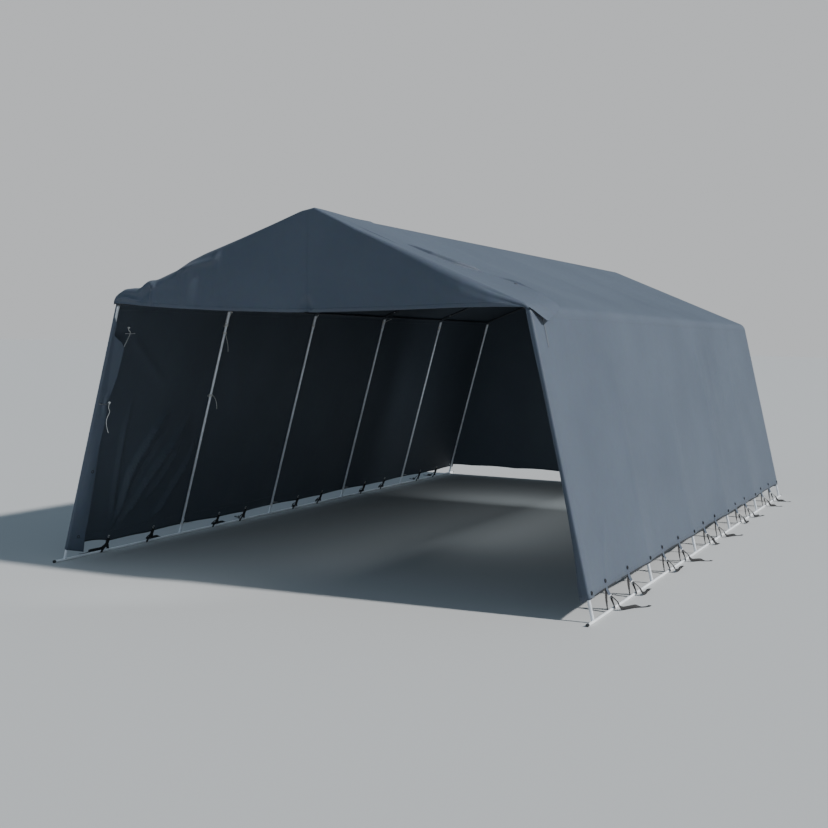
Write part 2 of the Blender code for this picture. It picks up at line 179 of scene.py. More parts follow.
def clothFinish(name, look, seams):
    # coated woven cloth: weave and seams on its UV, soft blotches over the whole
    material, tree, shader = newMaterial(name)
    cloth, spot = onCloth(tree), onPiece(tree)
    dust = noise(tree, spot, 22.0, 5.0)
    middle = tuple((a + b) / 2 for a, b in zip(look["dark"], look["light"]))
    stops = ((0.28, look["dark"]), (0.52, middle), (0.76, look["light"]))
    tone = ramp(tree, noise(tree, spot, 1.1, 4.0)["Fac"], stops)
    normal = bump(tree, noise(tree, spot, 2.6, 5.0, 0.45)["Fac"], 0.3, 0.012)
    for direction in ("X", "Y"):
        normal = bump(tree, waves(tree, cloth, direction, 170.0, 0.6), 0.1, 0.0005, normal)
    split = addNode(tree, "ShaderNodeSeparateXYZ", {"Vector": cloth})
    for axis, place, halfWidth in seams:
        # a folded double seam with a row of stitches along each edge
        across = reckon(tree, "ABSOLUTE", split["X"]) if axis == "X" else split["Y"]
        normal = bump(tree, bandOn(tree, across, place, halfWidth, 0.0012), 0.8, 0.0014, normal)
        other = split["Y" if axis == "X" else "X"]
        thread = reckon(tree, "SINE", reckon(tree, "MULTIPLY", other, 1250.0))
        for shift in (-0.6, 0.6):
            line = bandOn(tree, across, place + shift * halfWidth, 0.0005, 0.0006)
            normal = bump(tree, reckon(tree, "MULTIPLY", line, thread), 0.8, 0.0006, normal)
    feed(shader, {
        "Base Color": blend(tree, "OVERLAY", 0.12, tone, dust["Color"]),
        "Roughness": mapRange(tree, dust["Fac"], "To", look["rough"] - 0.06, look["rough"] + 0.08),
        "Specular IOR Level": 0.42,
        "Sheen Weight": look["sheen"],
        "Sheen Roughness": 0.45,
        "Normal": normal,
    })
    return material


def steelFinish(name, tone, rough, metal=0.85, shadeAbove=None):
    # galvanised tube: mottled zinc, with painted shade that darkens it above a given height
    material, tree, shader = newMaterial(name)
    spot = onPiece(tree)
    stops = ((0.25, tint(tone, 0.78)), (0.5, tone), (0.8, tint(tone, 1.1)))
    colour = ramp(tree, noise(tree, spot, 9.0, 6.0)["Fac"], stops)
    # painted shade: above that height the tube runs under the roof, so its colour is made dark
    if shadeAbove is not None:
        height = addNode(tree, "ShaderNodeSeparateXYZ", {"Vector": spot})["Z"]
        high = mapRange(tree, height, "From", shadeAbove - 0.008, shadeAbove + 0.008)
        colour = blend(tree, "MULTIPLY", high, colour, (0.07, 0.075, 0.085, 1))
    spangle = addNode(tree, "ShaderNodeTexVoronoi", {"Vector": spot, "Scale": 90.0})
    feed(shader, {
        "Base Color": colour,
        "Metallic": metal,
        "Roughness": mapRange(tree, spangle["Distance"], "To", rough - 0.08, rough + 0.1),
        "Normal": bump(tree, noise(tree, spot, 160.0)["Fac"], 0.1, 0.0008),
    })
    return material


def patternFinish(name, tone, shades, rough, relief, patternOf):
    # one pattern gives both the shades of the tone and the relief
    material, tree, shader = newMaterial(name)
    pattern = patternOf(tree)
    feed(shader, {
        "Base Color": ramp(tree, pattern, [(place, tint(tone, factor)) for place, factor in shades]),
        "Roughness": rough,
        "Normal": bump(tree, pattern, *relief),
    })
    return material


# the half section of the frame, from the ridge down to the foot
slope = atan2(tent["ridgeZ"] - eaveZ, eaveX)
lean = atan2(footX - eaveX, eaveZ - footZ)
wallOut, wallDown = Vector((cos(lean), 0, sin(lean))), Vector((sin(lean), 0, -cos(lean)))
roofOut, roofUp = Vector((sin(slope), 0, cos(slope))), Vector((-cos(slope), 0, sin(slope)))


def halfSection():
    # rows of x, z and outward angle, and the girth from the ridge at each
    crown = (0.0, tent["ridgeZ"] - tent["ridgeBend"] / cos(slope))
    outward = np.array([[sin(slope), cos(slope)], [cos(lean), sin(lean)]])
    elbow = np.linalg.solve(outward, outward @ np.array([eaveX, eaveZ]) - tent["eaveBend"])
    last = pi / 2 - lean
    bends = (
        (crown, tent["ridgeBend"], np.linspace(0, slope, 9)),
        (elbow, tent["eaveBend"], np.linspace(slope, last, 13)),
    )
    points = []
    for centre, radius, angles in bends:
        points += [(centre[0] + radius * sin(a), centre[1] + radius * cos(a), a) for a in angles]
    table = np.array([*points, (footX, footZ, last)])
    steps = np.hypot(np.diff(table[:, 0]), np.diff(table[:, 1]))
    return np.concatenate([[0], np.cumsum(steps)]), table


sectionG, sectionTable = halfSection()
gCrown = sectionG[8]  # where the ridge bend ends
gRoof = sectionG[9]  # where the eaves bend starts
gWall = sectionG[21]  # where the wall starts
gEave = (gRoof + gWall) / 2
gFoot = sectionG[22]
wallTop = sectionTable[21, 1]

cloths = {
    "Outside": {"dark": (0.056, 0.073, 0.102), "light": (0.072, 0.093, 0.127), "rough": 0.58, "sheen": 0.08},
    "Inside": {"dark": (0.047, 0.061, 0.08), "light": (0.061, 0.078, 0.101), "rough": 0.66, "sheen": 0.04},
}
# seams of each sheet: axis of its UV, place, half the width
seams = {
    "cloth": (("X", gEave + 0.05, 0.008), ("X", gFoot - 0.175, 0.004)),
    "hood": (("Y", 0.024, 0.003), ("X", 0.0, 0.006)),
    "gable": (("Y", 0.15, 0.003), ("X", 0.0, 0.006)),
}
clothFinishes = {
    sheet: [clothFinish(sheet + face, look, lines) for face, look in cloths.items()]
    for sheet, lines in seams.items()
}
tabCloth = clothFinish("tabCloth", cloths["Outside"], ())
steel = steelFinish("galvanisedTube", (0.8, 0.83, 0.88), 0.36, 0.3)
# the rails' steel is paler than the legs': painted reflection that keeps them bright
railSteelPaintedReflection = steelFinish("galvanisedRailPaintedReflection", (0.9, 0.93, 0.96), 0.34, 0.1)
# elbow tubes: painted shade on their arms above the eaves, under the roof
elbowSteelPaintedShade = steelFinish("elbowSteelPaintedShade", (0.8, 0.83, 0.88), 0.36, 0.2, 1.935)
# rafters and ridge tube painted near black: painted shade under the roof
paintedShadeSteel = steelFinish("tubePaintedShade", (0.06, 0.066, 0.078), 0.55, 0.05)
buckleSteel = steelFinish("buckleSteel", (0.78, 0.79, 0.8), 0.3, 0.6)
eyeletSteel = steelFinish("blackenedEyelet", (0.05, 0.052, 0.056), 0.42)
boltSteel = steelFinish("zincBolt", (0.5, 0.51, 0.53), 0.34, 0.75)
# ribs across the bands, a cord's diagonal lay, and plastic scuffed paler in patches
webbing = patternFinish("blackWebbing", (0.016, 0.016, 0.018), ((0.0, 0.55), (1.0, 1.5)), 0.72, (0.5, 0.0006),
                        lambda tree: waves(tree, onCloth(tree), "Y", 90.0, 0.8))
whiteCord, greyCord = [
    patternFinish(name, tone, ((0.0, 0.7), (0.6, 1.0), (1.0, 1.1)), 0.8, (0.5, 0.0005),
                  lambda tree: waves(tree, onPiece(tree), "DIAGONAL", 160.0, 1.5))
    for name, tone in (("whiteCord", (0.78, 0.77, 0.74)), ("greyCord", (0.2, 0.21, 0.22)))
]
plugPlastic = patternFinish("railPlugPlastic", (0.02, 0.021, 0.022), ((0.35, 1.0), (0.75, 2.2)), 0.48,
                            (0.15, 0.0004), lambda tree: noise(tree, onPiece(tree), 140.0, 4.0)["Fac"])
print("finishes made")


def settle(piece, slot, *nodes):
    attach(piece, "root")
    if nodes:
        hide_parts(*nodes)
    return piece


def onSide(side, spot):
    # a place or direction of the right-hand side, on either side
    return Vector((side * spot.x, spot.y, spot.z))


def onSection(g, offset):
    # place and outward direction at a girth from the ridge, offset from the tube's centre
    x, z, a = [np.interp(g, sectionG, column) for column in sectionTable.T]
    return x + np.sin(a) * offset, z + np.cos(a) * offset, np.sin(a), np.cos(a)


def girthAtHeight(z):
    return gWall + (wallTop - z) / (wallTop - footZ) * (gFoot - gWall)


def smooth(t):
    t = np.clip(t, 0.0, 1.0)
    return t * t * (3 - 2 * t)


def hump(value, centre, width):
    return exp(-(((value - centre) / width) ** 2))


# where straps and legs hold the hem, three to a bay
anchors = np.linspace(front, rear, 3 * (tent["portals"] - 1) + 1)
strapPlaces = {
    1: (-3.335, -2.775, -1.765, -1.225, -0.255, 0.25, 1.25, 1.75, 2.75, 3.25),
    -1: (-3.268, -2.676, -1.69, -1.24, -0.25, 0.25, 1.25, 1.75, 2.75, 3.25),
}

wallCloth = {
    "offset": 0.0152,
    "thick": 0.0014,
    "hollow": 0.025,
    "sag": 0.019,
    "hem": {-1: 0.092, 1: 0.147},
    "scallop": {-1: 0.006, 1: 0.0025},
    "firstArch": 0.03,
}


def hemHeight(side, y):
    # a wall's lower edge: pulled down at every strap, arched in between
    y = np.clip(y, anchors[0], anchors[-1])
    k = np.clip(np.searchsorted(anchors, y, side="right") - 1, 0, len(anchors) - 2)
    t = (y - anchors[k]) / (anchors[k + 1] - anchors[k])
    arch = np.where((k == 0) & (side < 0), wallCloth["firstArch"], wallCloth["scallop"][side])
    return wallCloth["hem"][side] + arch * np.sin(pi * t) ** 0.8


# folds pressed or pulled into the walls: places (y, z), width, height
wallFolds = {
    -1: (
        (((-3.27, 0.15), (-3.23, 0.33), (-3.2, 0.62), (-3.1, 0.8), (-2.98, 0.97), (-2.86, 1.09),
          (-2.72, 1.17)), 0.02, 0.05),
        (((-3.24, 0.16), (-3.08, 0.36), (-2.94, 0.57), (-2.78, 0.75), (-2.59, 0.93),
          (-2.45, 1.09)), 0.02, 0.054),
        (((-2.76, 0.2), (-2.67, 0.29), (-2.54, 0.47), (-2.38, 0.67), (-2.3, 0.92)), 0.019, 0.042),
        (((-3.27, 0.16), (-3.33, 0.5), (-3.36, 0.95), (-3.33, 1.3)), 0.026, 0.02),
        (((-3.26, 0.15), (-3.14, 0.42), (-3.02, 0.66), (-2.88, 0.86), (-2.74, 1.0)), 0.02, -0.034),
        (((-2.92, 0.36), (-2.76, 0.54), (-2.62, 0.72), (-2.52, 0.86)), 0.018, 0.034),
        (((-1.69, 0.12), (-1.6, 0.45), (-1.47, 0.78)), 0.034, 0.012),
        (((-1.24, 0.12), (-1.14, 0.55), (-1.0, 0.95)), 0.034, 0.01),
        (((-2.1, 1.85), (-1.9, 1.4), (-1.8, 0.9)), 0.06, 0.008),
        (((-3.55, 1.76), (-3.2, 1.5), (-2.9, 1.32)), 0.045, 0.01),
    ),
    1: (
        (((0.72, 1.86), (0.79, 1.4), (0.84, 0.95), (0.9, 0.45)), 0.034, 0.012),
        (((0.98, 1.84), (1.03, 1.45), (1.01, 1.05), (1.09, 0.6), (1.12, 0.3)), 0.032, 0.01),
        (((1.32, 1.86), (1.3, 1.5), (1.36, 1.1), (1.34, 0.7)), 0.034, 0.009),
        (((1.72, 1.84), (1.76, 1.4), (1.73, 1.0)), 0.036, 0.009),
        (((-0.62, 1.88), (-0.6, 1.4), (-0.64, 0.95), (-0.66, 0.5)), 0.045, 0.007),
        (((-2.14, 1.9), (-2.17, 1.3), (-2.2, 0.8), (-2.22, 0.35)), 0.045, 0.007),
        (((2.5, 1.85), (2.46, 1.3), (2.49, 0.8)), 0.05, 0.008),
        (((-3.33, 0.2), (-3.2, 0.4), (-3.05, 0.55)), 0.03, 0.005),
        (((-1.77, 0.2), (-1.86, 0.42), (-1.94, 0.6)), 0.03, 0.005),
    ),
}


def foldRelief(folds, y, z):
    total = np.zeros_like(y)
    for line, width, height in folds:
        near = np.full_like(y, 9.0)
        along = np.zeros_like(y)
        count = len(line) - 1
        for k, (a, b) in enumerate(zip(line, line[1:])):
            dy, dz = b[0] - a[0], b[1] - a[1]
            t = np.clip(((y - a[0]) * dy + (z - a[1]) * dz) / (dy * dy + dz * dz), 0, 1)
            gap = np.hypot(y - a[0] - t * dy, z - a[1] - t * dz)
            closer = gap < near
            near = np.where(closer, gap, near)
            along = np.where(closer, (k + t) / count, along)
        fade = smooth(along / 0.25) * smooth((1 - along) / 0.35)
        total += height * np.exp(-((near / width) ** 2)) * fade
    return total


def gridSheet(name, points, uv, thickness, finishes):
    # cloth through a grid of points, made thick by Solidify; points left out are cut away
    rows, columns = points.shape[:2]
    bpy.ops.mesh.primitive_grid_add(x_subdivisions=columns - 1, y_subdivisions=rows - 1, size=1)
    sheet = bpy.context.active_object
    sheet.name = name
    mesh = sheet.data
    mesh.name = name
    spare = np.isnan(points[:, :, 0]).ravel()
    mesh.vertices.foreach_set("co", np.nan_to_num(points).ravel())
    corners = np.empty(len(mesh.loops), dtype=int)
    mesh.loops.foreach_get("vertex_index", corners)
    layer = mesh.uv_layers[0]
    layer.name = "UVMap"
    layer.data.foreach_set("uv", uv.reshape(-1, 2)[corners].ravel())
    mesh.update()
    if spare.any():
        bpy.ops.object.mode_set(mode="EDIT")
        bm = bmesh.from_edit_mesh(mesh)
        for vertex in bm.verts:
            vertex.select_set(bool(spare[vertex.index]))
        bm.select_flush_mode()
        bmesh.update_edit_mesh(mesh)
        bpy.ops.mesh.delete(type="VERT")
        bpy.ops.object.mode_set(mode="OBJECT")
    for finish in finishes:
        mesh.materials.append(finish)
    wall = sheet.modifiers.new("thickness", "SOLIDIFY")
    wall.thickness = thickness
    wall.offset = 0.0
    wall.material_offset = len(finishes) - 1
    bpy.ops.object.modifier_apply(modifier=wall.name)
    bpy.ops.object.shade_smooth()
    sheet.select_set(False)
    return sheet


def ripple(y, g, size):
    swell = np.sin(1.9 * y + 1.1 * g + 0.7) * np.sin(2.3 * g - 0.6 * y + 0.2)
    swell += 0.5 * np.sin(4.3 * y - 2.1 * g + 1.9) * np.sin(3.1 * g + 0.9 * y)
    return size * (swell + 0.25 * np.sin(9.1 * y + 4.7 * g))


# the margins of the cover that are turned in round the front legs
flapShape = {
    "turn": {-1: 64, 1: 52},  # degrees that each flap swings into the tent
    "heights": {
        -1: (0.05, 0.15, 0.23, 0.31, 0.465, 0.66, 0.82, 0.93, 1.046,
             1.12, 1.213, 1.29, 1.425, 1.576, 1.65, 1.685, 1.72, 1.96),
        1: (0.05, 0.22, 0.28, 0.4, 0.54, 0.67, 0.93, 1.45, 1.96),
    },
    "widths": {
        -1: (0.136, 0.125, 0.118, 0.121, 0.113, 0.102, 0.088, 0.084, 0.088,
             0.088, 0.078, 0.088, 0.108, 0.112, 0.112, 0.082, 0.014, 0.012),
        1: (0.098, 0.09, 0.07, 0.052, 0.04, 0.024, 0.014, 0.013, 0.012),
    },
    "closed": {-1: (1.87, 0.07), 1: (1.975, 0.05)},  # below this height it goes right round the leg
    "waist": 1.213,
    "wrapSteps": 6,
    "steps": 14,
    "rearSteps": 5,
    "droop": 0.12,  # share of the wall over which a flap's lower edge hangs down
}


# how finely the cover is divided; the left wall has the sharper folds
coverGrid = {"firstBay": 105, "otherBays": 97, "wall": {1: 55, -1: 83}, "eave": 7, "roof": 25, "crown": 3}


def coverRows():
    # girth rows from the right hem to the left hem: side, kind and share
    bands = (
        (gWall, gRoof, coverGrid["eave"]),
        (gRoof, gCrown, coverGrid["roof"]),
        (gCrown, 0, coverGrid["crown"]),
    )
    upper = np.concatenate([np.linspace(*band, endpoint=False) for band in bands])
    rows = {}
    for side, count in coverGrid["wall"].items():
        rows[side] = [(side, "wall", t) for t in np.linspace(0, 1, count, endpoint=False)]
        rows[side] += [(side, "fixed", g) for g in upper]
    return [*rows[1], (1, "fixed", 0.0), *reversed(rows[-1])]


def flapLift(side, z, w, f):
    # how far a margin stands off its straight line, w metres and a share f along it
    waist = flapShape["waist"]
    if side > 0:
        return 0.007 * sin(pi * f) * sin(z * 4.0 + 0.6) + 0.01 * f * hump(z, 0.2, 0.2)
    lift = 0.007 * sin(f * 11.0) * hump(z, waist, 0.055) * f
    lift += 0.01 * hump(z, 0.62, 0.3) * sin(pi * f)
    opened = smooth((z - waist - 0.01) / 0.14) * smooth((1.74 - z) / 0.05)
    fold = np.interp(z, (waist, 1.35, 1.5, 1.66), (0.07, 0.048, 0.036, 0.026))
    return lift + opened * 0.12 * (max(0.0, w - fold) - min(w, fold))


def marginFrame(side, g, onWall):
    # front tube's centre, outward and forward directions, how far round it the margin goes, its width
    ax, az, nx, nz = onSection(g, 0.0)
    end, width = radians(62), 0.014
    if onWall:
        width = np.interp(az, flapShape["heights"][side], flapShape["widths"][side])
        high, fade = flapShape["closed"][side]
        end += (radians(90 + flapShape["turn"][side]) - end) * smooth((high - az) / fade)
    return Vector((ax, front, az)), Vector((nx, 0, nz)), Vector((0, -1, 0)), end, width


def marginSpot(side, axis, out, ahead, end, w, f):
    square = out * cos(end) + ahead * sin(end)
    along = ahead * cos(end) - out * sin(end)
    lift = flapLift(side, axis.z, w, f) if f else 0.0
    return axis + square * (wallCloth["offset"] + lift) + along * w


def flapSpot(side, z, w):
    # a place w metres along a flap, and its outward direction
    axis, out, ahead, end, width = marginFrame(side, girthAtHeight(z), True)
    place = marginSpot(side, axis, out, ahead, end, w, w / width)
    return place, out * cos(end) + ahead * sin(end)


def makeCover():
    offset, droop = wallCloth["offset"], flapShape["droop"]
    steps, wrap, rearSteps = flapShape["steps"], flapShape["wrapSteps"], flapShape["rearSteps"]
    bayOne = np.linspace(front, front + bay, coverGrid["firstBay"])
    ys = np.concatenate([bayOne, np.linspace(bayOne[-1], rear, coverGrid["otherBays"])[1:]])
    t = (ys - front) / bay % 1.0
    slack = 4 * t * (1 - t)
    calmEnds = smooth((ys - front) / 0.12) * smooth((rear - ys) / 0.12)
    points, uv = [], []
    for side, kind, value in coverRows():
        onWall, onRoof = kind == "wall", kind == "fixed" and gCrown < value < gRoof
        if onWall:
            hemG = girthAtHeight(hemHeight(side, ys) - sin(lean) * offset)
            g = hemG + (gWall - hemG) * value
        else:
            g = np.full_like(ys, value)
        push = ripple(ys, g * side, 0.0015)
        if onWall:
            push -= wallCloth["hollow"] * slack * (1 - value ** 3) * cos(lean)
            push += foldRelief(wallFolds[side], ys, np.interp(g, sectionG, sectionTable[:, 1])) * side
        elif onRoof:
            push -= wallCloth["sag"] * slack * sin(pi * (value - gCrown) / (gRoof - gCrown))
        push *= calmEnds * (1.0 if onWall or onRoof else 0.3)
        x, z, _, _ = onSection(g, offset + push)
        flapHere = onWall or value > gEave
        axis, out, ahead, end, width = marginFrame(side, g[0], flapHere)
        row = []
        for f in np.arange(steps, 0, -1) / steps:
            spot = marginSpot(side, axis, out, ahead, end, width * f, f if flapHere else 0.0)
            if onWall and value < droop:
                low = 0.012 * f if side < 0 else 0.02 * sin(pi * min(1.0, f * 0.8))
                spot.z -= low * (1 - value / droop)
            row.append((spot, g[0], front - offset * end - width * f))
        for b in end * np.arange(wrap, 0, -1) / wrap:
            # round the front tube
            row.append((axis + (out * cos(b) + ahead * sin(b)) * offset, g[0], front - offset * b))
        row += [(Vector(spot), girth, spot[1]) for spot, girth in zip(zip(x, ys, z), g)]
        ax, az, nx, nz = onSection(g[-1], 0.0)
        axis, out, back = Vector((ax, rear, az)), Vector((nx, 0, nz)), Vector((0, 1, 0))
        for k in range(1, rearSteps + 2):
            # round the rear tube, under the gable's edge
            b = radians(90) * min(k, rearSteps) / rearSteps
            spot = axis + (out * cos(b) + back * sin(b)) * offset
            if k > rearSteps:
                spot -= out * 0.018
            row.append((spot, g[-1], rear + 0.004 * k))
        points.append([onSide(side, spot) for spot, _, _ in row])
        uv.append([(side * girth, along) for _, girth, along in row])
    cover = gridSheet("tentCover", np.array(points), np.array(uv), wallCloth["thick"], clothFinishes["cloth"])
    return settle(cover, "cover", "left_wall_cover", "left_roof_cover", "right_roof_cover",
                  "right_wall_cover", "left_front_flap", "right_front_flap")


cover = makeCover()
print("cover made", len(cover.data.polygons))

rearGable = {
    "y": 3.7674, "inset": 0.01, "hem": 0.12, "columns": 101, "rows": 56, "billow": 0.006, "thick": 0.0012,
}


def makeRearGable():
    # sewn over the cover's rear margin
    a = np.linspace(1, -1, rearGable["columns"])[None, :]
    t = np.linspace(0, 1, rearGable["rows"])[:, None]
    hemX = onSection(girthAtHeight(rearGable["hem"]), rearGable["inset"])[0]
    topX, topZ, _, _ = onSection(abs(a) * gEave, rearGable["inset"])
    low = rearGable["hem"] + 0.01 * abs(np.sin(a * pi * 3.5)) * (1 - abs(a) ** 8)
    x = hemX * a + (np.copysign(topX, a) - hemX * a) * t
    z = low + (topZ - low) * t
    calm = np.sin(pi * t) ** 0.5 * (1 - abs(a) ** 6)
    swell = np.sin(5.1 * x + 0.8) * np.sin(1.7 * z + 0.3) + 0.4 * np.sin(9.7 * x - 2 * z)
    y = rearGable["y"] - rearGable["billow"] * calm * abs(swell)
    points, uv = np.stack([x, y, z], axis=2), np.stack([x, z], axis=2)
    return settle(gridSheet("rearGable", points, uv, rearGable["thick"], clothFinishes["gable"]),
                  "cover", "rear_wall_cover")


gable = makeRearGable()
print("rear gable made")

# the hood: laid on the roof, rolled over the front rafters and hanging as the valance
hood = {
    "offset": 0.02,
    "thick": 0.0014,
    "overhangSteps": 8,
    "rollRows": 12,
    "gableRows": 26,
    "creaseY": -3.62,
    # share of the slope, from ridge to eaves, and what happens there
    "shares": (0.0, 0.08, 0.23, 0.35, 0.46, 0.56, 0.63, 0.7, 0.8, 0.9, 1.0),
    "rearEdge": (-2.9, -2.96, -3.18, -3.36, -3.37, -3.3, -3.22, -3.16, -3.14, -3.15, -3.17),
    "lift": (0.003, 0.004, 0.006, 0.007, 0.008, 0.01, 0.018, 0.03, 0.04, 0.046, 0.016),
    "curlShares": (0.335, 0.38, 0.46, 0.55, 0.62, 0.67, 0.72, 0.775, 0.82, 0.86, 0.9),
    "curl": (0.0, 0.013, 0.023, 0.026, 0.022, 0.0, 0.003, 0.014, 0.01, 0.003, 0.0),
    # the crest is pulled a little to the right
    "crest": ((-0.42, -0.055, 0.047, 0.42), 2.599, 2.6225),
}
rollTable = (
    (0.0, 0.15, 0.3, 0.45, 0.6, 0.72, 0.84, 0.93, 1.0),
    (0.012, 0.013, 0.02, 0.034, 0.052, 0.06, 0.05, 0.028, 0.013),
)
lowerEdge = (
    (-1.63, -1.49, -1.3, -1.05, -0.65, -0.14, -0.03, 0.0, 0.04, 0.29, 0.7, 1.12, 1.4, 1.61),
    (1.958, 1.952, 1.938, 1.926, 1.914, 1.91, 1.911, 1.917, 1.912, 1.921, 1.936, 1.956, 1.966, 1.968),
)
# extra height of the cloth above the left rafter
leftHeaps = (
    (0.0, 0.17, 0.33, 0.446, 0.5, 0.583, 0.63, 0.66, 0.755,
     0.78, 0.807, 0.83, 0.853, 0.87, 0.893, 0.938, 0.983, 1.0),
    (0.0, 0.003, 0.009, 0.016, 0.02, 0.017, 0.003, -0.0025, -0.0025,
     0.003, 0.018, 0.012, -0.0025, 0.003, 0.018, 0.04, 0.03, 0.018),
)
# folds of the valance and its roll: places (x, z), width, height
gableFolds = (
    (((-1.285, 2.14), (-1.254, 2.095), (-1.222, 2.062)), 0.017, 0.022),
    (((-1.04, 2.18), (-0.996, 2.199), (-0.877, 2.238), (-0.752, 2.262), (-0.711, 2.286), (-0.69, 2.36)),
     0.016, 0.02),
    (((-1.61, 1.98), (-1.53, 1.996), (-1.44, 1.988), (-1.34, 1.976)), 0.014, 0.016),
    (((0.03, 1.905), (0.0, 1.965), (-0.03, 2.0)), 0.032, -0.028),
    (((-1.38, 1.96), (-1.3, 2.03), (-1.24, 2.09)), 0.03, -0.012),
)


def crestHeight(x):
    places, left, top = hood["crest"]
    low = tent["ridgeZ"] + hood["offset"] / cos(slope)
    heights = (low - abs(places[0]) * tan(slope), left, top, low - places[3] * tan(slope))
    return np.interp(x, places, heights)


def hoodLength(edge):
    # places along the cloth on the roof, close together at its crease and free edge
    crease = hood["creaseY"]
    marks = (tent["frontEdge"], crease - 0.01, crease + 0.01, edge - 0.03, edge)
    spans = [np.linspace(*span, endpoint=False) for span in zip(marks, marks[1:], (6, 5, 11, 7))]
    return [*np.concatenate(spans), edge]


def hoodProfile(side, g, overhang):
    # from the valance's lower edge, over the roll, back to the free edge on the roof
    share = min(g / gEave, 1.0)
    lip, offset, crestEnd = tent["frontEdge"], hood["offset"], hood["crest"][0][-1]
    edge = np.interp(share, hood["shares"], hood["rearEdge"])
    rise = np.interp(share, hood["shares"], hood["lift"])
    curl = np.interp(share, hood["curlShares"], hood["curl"]) if side > 0 else 0.004
    radius = np.interp(share, *rollTable)
    heap = np.interp(share, *leftHeaps) if side < 0 else 0.004 * sin(pi * share)
    frontDrop = overhang * (0.022 if side < 0 else 0.006)
    x, z, nx, nz = onSection(g + frontDrop, offset + heap * (1 - 0.9 * overhang) + 0.002 * overhang)
    if abs(x) < crestEnd:
        z = max(z, crestHeight(side * x))
    up, ahead = Vector((0, 0, 1)), Vector((0, -1, 0))
    down = Vector((nx, 0, nz)).lerp(up, 1 - smooth((share - 0.9) / 0.1)).normalized()
    rolled = []
    for k in range(hood["rollRows"]):
        a = radians(88) * (1 - k / hood["rollRows"])
        groove = -0.007 * hump(share, 0.86, 0.07) * hump(a, 0.75, 0.3) if side > 0 else 0.0
        place = Vector((x, lip, z)) - down * (radius * (1 - cos(a))) + ahead * (radius * sin(a))
        place.y -= foldRelief(gableFolds, side * place.x, place.z)
        rolled.append(place + (down * cos(a) + ahead * sin(a)) * groove)
    hanging = []
    top = rolled[0]
    low = min(np.interp(side * x, *lowerEdge), top.z - 0.002)
    bottom = Vector((x, top.y + 0.002 + 0.005 * sin(4.1 * side * x), low))
    for k in range(0 if overhang else hood["gableRows"]):
        t = k / hood["gableRows"]
        wave = 0.004 * sin(3.3 * side * x + 1.0) + 0.003 * sin(7.0 * side * x + 4 * t)
        place = bottom.lerp(top, t)
        place.y += wave * sin(pi * t) - foldRelief(gableFolds, side * place.x, place.z)
        hanging.append(place)
    laid = []
    for y in hoodLength(edge):
        t = (y - lip) / (edge - lip)
        drop = frontDrop
        flare = 0.0
        if overhang:
            lobe = np.interp(y, (-3.79, -3.6, edge), (0.0, 1.0, 0.0)) ** 1.15
            drop = max(frontDrop * (1 - t), overhang * (0.004 + 0.094 * lobe))
            flare = overhang ** 1.5 * 0.04 * lobe
        inBay = (y - lip) / bay
        lift = rise * t ** 2.2
        sag = 0.04 * inBay * (1 - inBay) * sin(pi * share) * t
        away = offset + lift - min(sag, lift + 0.003) + flare
        away += heap * (1 - smooth(t * 1.6)) * (1 - 0.9 * overhang)
        if side < 0:
            away += 0.72 * heap * t * (1 - t)
        else:
            behind = y - hood["creaseY"]
            step = smooth((behind + 0.004) / 0.008) * smooth((0.16 - behind) / 0.14)
            away += 0.0055 * step * smooth((share - 0.03) / 0.05) * smooth((0.4 - share) / 0.08)
        away += curl * max(0.0, (y - edge + 0.009) / 0.009) ** 1.2
        px, pz, _, _ = onSection(g + drop, away)
        if abs(px) < crestEnd:
            pz += max(0.0, crestHeight(side * px) - pz) * (1 - smooth((y - lip) / 0.75))
        laid.append(Vector((px, y, pz)))
    return hanging + rolled + laid


def runningLength(places):
    lengths = [0.0]
    for a, b in zip(places, places[1:]):
        lengths.append(lengths[-1] + (b - a).length)
    return lengths


def makeHood():
    # no valance below the two ends that hang over the walls
    over = hood["overhangSteps"]
    signed = sorted({*np.linspace(-gEave, gEave, 171), 0.034, 0.047, 0.06})
    stations = [(-1, gEave, k / over) for k in range(over, 0, -1)]
    stations += [(1 if g >= 0 else -1, abs(g), 0.0) for g in signed]
    stations += [(1, gEave, k / over) for k in range(1, over + 1)]
    points, uv = [], []
    for side, g, overhang in stations:
        profile = hoodProfile(side, g, overhang)
        cut = hood["gableRows"] if overhang else 0
        start = runningLength(hoodProfile(side, g, 0.0)[:cut + 1])[-1]
        lengths = [start] * cut + [start + length for length in runningLength(profile)]
        points.append([(np.nan,) * 3] * cut + [tuple(onSide(side, spot)) for spot in profile])
        uv.append([(side * (g + 0.09 * overhang), length) for length in lengths])
    grids = [np.array(columns).transpose(1, 0, 2) for columns in (points, uv)]
    cloth = gridSheet("frontHood", *grids, hood["thick"], clothFinishes["hood"])
    return settle(cloth, "cover", "front_valance", "left_front_hood", "right_front_hood")


frontHood = makeHood()
print("front hood made")

# black band along the hem, hold-down straps and their loose ends
straps = {
    "width": 0.026,
    "tailWidth": 0.024,
    "thick": 0.0017,
    "tabThick": 0.0024,
    "eyeletAbove": {1: 0.048, -1: 0.034},
    "buckle": {1: 0.095, -1: 0.064},
    "splay": 0.052,  # the outer band's foot lies back, the inner one's forward
    "start": -18,
    "tuck": 46,
    # the black band along the hem is partly binding tape and partly painted shade
    "binding": 0.007,
    "bindingThick": 0.0042,
}
# how far out and back each loose end reaches
tailLays = (
    (0.185, 0.27), (0.045, 0.28), (0.045, 0.32), (0.19, 0.17), (0.07, 0.13),
    (0.16, 0.25), (0.05, 0.2), (0.11, 0.24), (0.16, 0.12), (0.185, 0.1),
)
firstLeftLay = (0.08, -0.23)  # thrown forward, behind the flap


